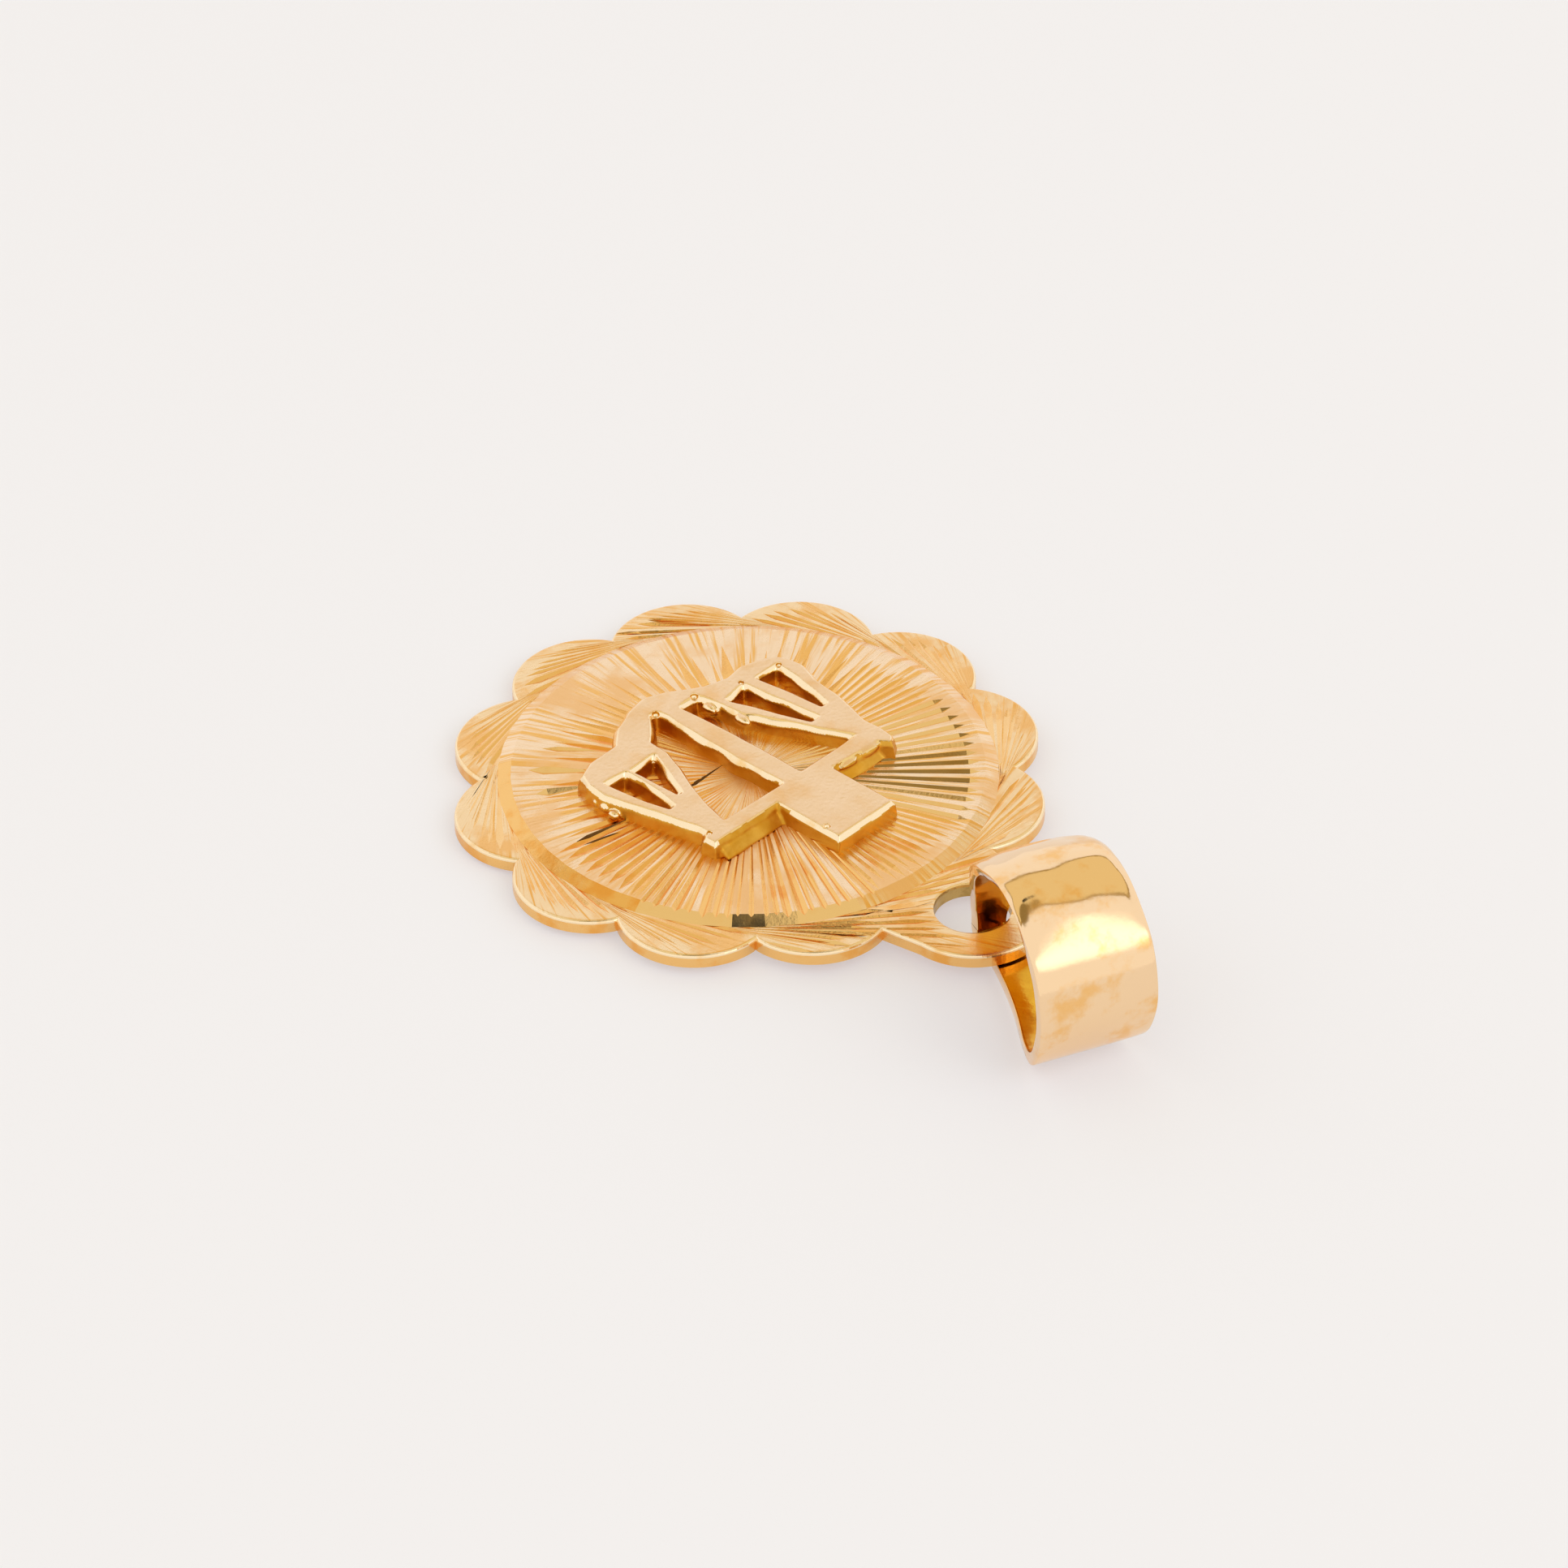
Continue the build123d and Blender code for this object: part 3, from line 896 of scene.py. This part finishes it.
def make_scales():
    figure = flat_outline("raised_scales", [scales_outline] + scales_windows, relief_slope)
    figure.scale = (1, 1, relief_h / relief_slope)
    figure.location = (figure_x, figure_y, 0)
    fixed(figure)
    edit(figure, "VERT")
    bpy.ops.mesh.select_all(action="SELECT")
    bpy.ops.mesh.remove_doubles(threshold=0.0005)
    leave()
    extras = [ramp(*each) for each in ramps] + [lump(*each) for each in lumps]
    figure = joined([figure] + extras)
    modified(figure, "REMESH", mode="VOXEL", voxel_size=relief_voxel, use_smooth_shade=True)
    edit(figure)
    bpy.ops.mesh.select_all(action="SELECT")
    bpy.ops.mesh.bisect(plane_co=(0, 0, -figure_seat), plane_no=(0, 0, 1), use_fill=True, clear_inner=True)
    leave()
    holes = [lump(x, y, z, size, size, size) for x, y, z, size in pits]
    combine(figure, joined(holes), "DIFFERENCE")
    figure.location = (0, 0, centre_top)
    fixed(figure)
    finished(figure, satin, shoulder_highlight_gold, wall_shade_gold)
    sides = figure.vertex_groups.new(name="sides")
    high = centre_top + relief_h
    for vertex in figure.data.vertices:
        below = (high - vertex.co.z) / relief_h
        sides.add([vertex.index], min(1.0, max(0.0, below * 3.0)), "REPLACE")
    soft = bpy.data.textures.new("cast lumps", "CLOUDS")
    soft.noise_scale = wave_size
    soft.noise_depth = 0
    modified(figure, "DISPLACE", texture=soft, texture_coords="LOCAL", strength=waves, mid_level=0.5,
             vertex_group="sides")
    modified(figure, "SMOOTH", factor=0.5, iterations=12)

    def on_ramp(face):
        at = face.calc_center_median()
        return any(x0 < at.x < x1 and top < at.y < foot + 0.1 for x0, x1, top, foot in ramps)

    edit(figure)
    # The rounded shoulders get the paler shoulder gold, a painted highlight.
    pick(figure, "FACE", lambda f: f.normal.z < 0.93)
    given(figure, 1)
    # The steep sides get the darker wall gold, painted shade.
    pick(figure, "FACE", lambda f: f.normal.z < (0.80 if on_ramp(f) else 0.45))
    given(figure, 2)
    leave()
    bpy.ops.object.shade_smooth()
    return figure


# Bail

def bail_route():
    """Closed curve of the strip's outer line, X out from the neck and Y up."""
    heel = -strip_t / 2
    bend = bend_r + strip_t
    curve = bpy.data.curves.new("bail route", "CURVE")
    curve.dimensions = "2D"
    curve.resolution_u = 24
    spline = curve.splines.new("BEZIER")
    places = [(heel + bend, 0.0)]
    places += [(along * bail_len + heel, up * bail_h) for along, up in bail_side]
    places.append((heel, bend))
    spline.bezier_points.add(len(places) - 1)
    for point, (x, y) in zip(spline.bezier_points, places):
        point.co = (x, y, 0)
        point.handle_left_type = "AUTO"
        point.handle_right_type = "AUTO"
    spline.use_cyclic_u = True
    pull = 0.5523 * bend
    first, second, last = spline.bezier_points[0], spline.bezier_points[1], spline.bezier_points[-1]
    for point in (first, second, last):
        point.handle_left_type = "FREE"
        point.handle_right_type = "FREE"
    first.handle_left = first.co - Vector((pull, 0, 0))
    first.handle_right = first.co + Vector((1, 0, 0))
    second.handle_left = second.co - Vector((1, 0, 0))
    second.handle_right = second.co + Vector((0.5, 0, 0))
    last.handle_left = last.co + Vector((0, 0.6, 0))
    last.handle_right = last.co - Vector((0, pull, 0))
    route = bpy.data.objects.new("bail route", curve)
    bpy.context.scene.collection.objects.link(route)
    return route


def half_width(along):
    """Half width of the strip at that distance out from the neck, on a smooth line through the table."""
    share = min(along / bail_len, bail_plan[-1][0])
    slopes = [0.0]
    for (x0, s0), (x1, s1) in zip(bail_plan, bail_plan[2:]):
        slopes.append((s1 - s0) / (x1 - x0))
    slopes.append(0.0)
    for k, ((x0, s0), (x1, s1)) in enumerate(zip(bail_plan, bail_plan[1:])):
        if share <= x1:
            run = x1 - x0
            t = max(0.0, (share - x0) / run)
            value = ((2 * t ** 3 - 3 * t ** 2 + 1) * s0 + (t ** 3 - 2 * t ** 2 + t) * run * slopes[k]
                     + (3 * t ** 2 - 2 * t ** 3) * s1 + (t ** 3 - t ** 2) * run * slopes[k + 1])
            return neck_w / 2 + value * (bail_w - neck_w) / 2
    return bail_w / 2


def crown(share):
    """How far in the strip lies at that share of its half width: flat, with turned-down edges."""
    shoulder = 0.82
    turned = max(0.0, (share - shoulder) / (1 - shoulder)) ** 1.5
    return 0.65 * share ** 2 + 0.35 * turned


def make_bail():
    route = bail_route()
    line = bpy.data.meshes.new_from_object(route)
    places = [v.co.copy() for v in line.vertices]
    places.append(places[0])
    run = [0.0]
    for a, b in zip(places, places[1:]):
        run.append(run[-1] + (b - a).length)
    length = run[-1]
    rows = 220
    columns = 28
    bpy.ops.mesh.primitive_grid_add(x_subdivisions=rows, y_subdivisions=columns, size=2,
                                    rotation=(math.pi / 2, 0, 0))
    strip = fixed(named("wide_bail"))
    strip.scale = (length / 2, 1, 1)
    strip.location = (length / 2, 0, 0)
    fixed(strip)
    spots = sorted({round(v.co.x, 4) for v in strip.data.vertices})
    edit(strip, "VERT")
    k = 0
    for spot in spots:
        while k < len(run) - 2 and run[k + 1] < spot:
            k += 1
        t = (spot - run[k]) / (run[k + 1] - run[k])
        at = places[k].lerp(places[k + 1], t)
        half = half_width(at.x + bail_lean * at.y)
        pick(strip, "VERT", lambda v: abs(v.co.x - spot) < 1e-3)
        bpy.ops.transform.resize(value=(1, 1, half), center_override=(spot, 0, 0))
    leave()

    def sunk(x, z):
        flatter = min(1.0, max(crown_left, 1.0 - (x / length - crown_fades) * crown_fade))
        return strip_crown * flatter * crown(min(1.0, abs(z) / (bail_w / 2)))

    def inside(place):
        return place.y < -sunk(place.x, place.z) - strip_t / 2

    dome = strip.vertex_groups.new(name="dome")
    dented = strip.vertex_groups.new(name="dented")
    for vertex in strip.data.vertices:
        dome.add([vertex.index], sunk(vertex.co.x, vertex.co.z) / strip_crown, "REPLACE")
        lower = (dents_end - vertex.co.x / length) * dents_fade
        dented.add([vertex.index], min(1.0, max(dents_left, lower)), "REPLACE")
    modified(strip, "DISPLACE", direction="Y", strength=-strip_crown, mid_level=0.0,
             vertex_group="dome")
    modified(strip, "SOLIDIFY", thickness=strip_t, offset=1.0, use_even_offset=True)
    edit(strip)
    pick(strip, "FACE", lambda f: abs(f.normal.x) > 0.9
         and (f.calc_center_median().x < 1e-3 or f.calc_center_median().x > length - 1e-3))
    bpy.ops.mesh.delete(type="FACE")
    bpy.ops.mesh.select_all(action="SELECT")
    bpy.ops.mesh.normals_make_consistent(inside=False)
    leave()
    modified(strip, "BEVEL", width=strip_round, segments=3, limit_method="ANGLE",
             angle_limit=math.radians(50), use_clamp_overlap=True)
    finished(strip, strip_gold, inside_shade_gold)
    edit(strip)
    # The inner faces of the loop get the darker inside gold, painted shade.
    pick(strip, "FACE", lambda f: abs(f.normal.y) > 0.75 and inside(f.calc_center_median()))
    given(strip, 1)
    leave()
    modified(strip, "CURVE", object=route, deform_axis="POS_X")
    bpy.data.objects.remove(route)
    edit(strip, "VERT")
    bpy.ops.mesh.select_all(action="SELECT")
    bpy.ops.mesh.remove_doubles(threshold=0.004)
    bpy.ops.mesh.normals_make_consistent(inside=False)
    leave()
    strip.matrix_world = Matrix(((0, 0, 1, 0), (1, 0, 0, 0), (0, 1, 0, 0), (0, 0, 0, 1)))
    fixed(strip)
    dents = bpy.data.textures.new("dents", "CLOUDS")
    dents.noise_scale = 1.1
    dents.noise_depth = 1
    modified(strip, "DISPLACE", texture=dents, texture_coords="LOCAL", strength=dent, mid_level=0.5,
             vertex_group="dented")
    bpy.ops.object.shade_smooth()
    return strip


# The object

rim = laid_down(make_rim(), lie_medallion)
centre = laid_down(make_centre(), lie_medallion)
figure = laid_down(make_scales(), lie_medallion)
bail = laid_down(make_bail(), lie_bail)
for piece, solid in ((rim, "medallion"), (centre, "medallion"), (figure, "medallion"), (bail, "bail")):
    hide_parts(solid)
    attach(piece, "root")
for solid in frame["nodes"].values():
    finished(solid, satin)


# Surface, light and camera

floor_size = 3.0

bpy.ops.mesh.primitive_plane_add(size=floor_size, location=(0, 0, 0))
floor = named("floor")
paper = bpy.data.materials.new("pale paper")
paper.use_nodes = True
paper_shader = paper.node_tree.nodes["Principled BSDF"]
paper_shader.inputs["Base Color"].default_value = (0.58, 0.56, 0.55, 1)
paper_shader.inputs["Roughness"].default_value = 0.9
paper_shader.inputs["Specular IOR Level"].default_value = 0.0
paper_shader.inputs["Emission Color"].default_value = (0.336, 0.354, 0.398, 1)
paper_shader.inputs["Emission Strength"].default_value = 1.0
floor.data.materials.append(paper)

camera_side = 43.553        # where the camera stands, degrees from +X

# Darker and brighter parts of the room that the polished faces reflect: direction and elevation,
# where they start and where they are full in degrees off that direction, and their tone. A slot cuts
# a part down to a strip between two straight edges: direction and elevation that it is measured
# along, and half its width in degrees.
room = [
    dict(side=200, up=76, start=42.0, full=41.0, tone=(0.40, 0.28, 0.09), slot=(67.5, 12, 28.0)),
    dict(side=200, up=76, start=40.0, full=38.0, tone=(0.86, 0.73, 0.42), slot=(67.5, 12, 25.0)),
    dict(side=camera_side, up=80, start=14.0, full=10.0, tone=(0.30, 0.22, 0.08)),
    dict(side=camera_side, up=97, start=4.4, full=2.8, tone=(0.04, 0.04, 0.035)),
    dict(side=96, up=36, start=15.0, full=1.0, tone=(1.9, 1.86, 1.82)),
]
room_tone = (1.0, 0.985, 0.97)
room_strength = 1.0


def slotted(tree, way, share, slot):
    """The share of a part of the room, cut down to its slot."""
    side, up, half = slot
    measured = polar(math.cos(math.radians(up)), side)
    measured.z = math.sin(math.radians(up))
    along = node(tree, "ShaderNodeVectorMath", operation="DOT_PRODUCT")
    along.inputs[1].default_value = measured
    tree.links.new(way.outputs["Generated"], along.inputs[0])
    off = node(tree, "ShaderNodeMath", operation="ABSOLUTE")
    tree.links.new(along.outputs["Value"], off.inputs[0])
    within = node(tree, "ShaderNodeMapRange", interpolation_type="SMOOTHSTEP")
    within.inputs["From Min"].default_value = math.sin(math.radians(half + 1.0))
    within.inputs["From Max"].default_value = math.sin(math.radians(half))
    tree.links.new(off.outputs["Value"], within.inputs["Value"])
    both = node(tree, "ShaderNodeMath", operation="MULTIPLY")
    tree.links.new(share, both.inputs[0])
    tree.links.new(within.outputs["Result"], both.inputs[1])
    return both.outputs["Value"]


def light_room():
    world = bpy.data.worlds.new("studio")
    bpy.context.scene.world = world
    world.use_nodes = True
    tree = world.node_tree
    background = tree.nodes["Background"]
    background.inputs["Strength"].default_value = room_strength
    way = node(tree, "ShaderNodeTexCoord", (-1400, 0))
    colour = None
    for k, zone in enumerate(room):
        ahead = polar(math.cos(math.radians(zone["up"])), zone["side"])
        ahead.z = math.sin(math.radians(zone["up"]))
        dot = node(tree, "ShaderNodeVectorMath", (-1100, -300 * k), operation="DOT_PRODUCT")
        dot.inputs[1].default_value = ahead
        tree.links.new(way.outputs["Generated"], dot.inputs[0])
        mask = node(tree, "ShaderNodeMapRange", (-900, -300 * k), interpolation_type="SMOOTHSTEP")
        mask.inputs["From Min"].default_value = math.cos(math.radians(zone["start"]))
        mask.inputs["From Max"].default_value = math.cos(math.radians(zone["full"]))
        tree.links.new(dot.outputs["Value"], mask.inputs["Value"])
        share = mask.outputs["Result"]
        if "slot" in zone:
            share = slotted(tree, way, share, zone["slot"])
        mix = node(tree, "ShaderNodeMix", (-600, -300 * k), data_type="RGBA")
        if colour is None:
            mix.inputs["A"].default_value = (*room_tone, 1)
        else:
            tree.links.new(colour, mix.inputs["A"])
        mix.inputs["B"].default_value = (*zone["tone"], 1)
        tree.links.new(share, mix.inputs["Factor"])
        colour = mix.outputs["Result"]
    tree.links.new(colour, background.inputs["Color"])


light_room()


def soft_light(name, side, up, distance, size, power):
    """Round soft light aimed at the charm."""
    place = polar(distance * math.cos(math.radians(up)), side)
    place.z = distance * math.sin(math.radians(up))
    bpy.ops.object.light_add(type="AREA", location=place)
    lamp = bpy.context.object
    lamp.name = name
    lamp.data.shape = "DISK"
    lamp.data.size = size
    lamp.data.energy = power
    lamp.visible_glossy = False
    lamp.rotation_mode = "QUATERNION"
    lamp.rotation_quaternion = place.to_track_quat("Z", "Y")


soft_light("window", 105, 42, 0.6, 0.50, 0.35)

# The camera, as the photograph has it to the medallion's upper face.
look_x, look_y = -0.300, 1.184
camera_away = 212.74
camera_up = 37.0
camera_roll = 0.5198
lens_mm = 163.88

towards = polar(math.cos(math.radians(camera_up)), camera_side)
towards.z = math.sin(math.radians(camera_up))
level = Vector((-math.sin(math.radians(camera_side)), math.cos(math.radians(camera_side)), 0))
upright = towards.cross(level)
turn = math.radians(camera_roll)
right = level * math.cos(turn) - upright * math.sin(turn)
top = level * math.sin(turn) + upright * math.cos(turn)
spot = Vector((look_x, look_y, plate_t)) + towards * camera_away
stand = Matrix((
    (right.x, top.x, towards.x, spot.x),
    (right.y, top.y, towards.y, spot.y),
    (right.z, top.z, towards.z, spot.z),
    (0, 0, 0, 1)))
bpy.ops.object.camera_add()
camera = bpy.context.object
camera.name = "camera"
placed = lie_medallion @ stand
placed.translation = placed.translation * mm
camera.matrix_world = placed
camera.data.lens = lens_mm
camera.data.sensor_width = 36.0
camera.data.clip_start = 0.01
camera.data.clip_end = 10.0
bpy.context.scene.camera = camera
bpy.context.scene.view_settings.view_transform = "Standard"
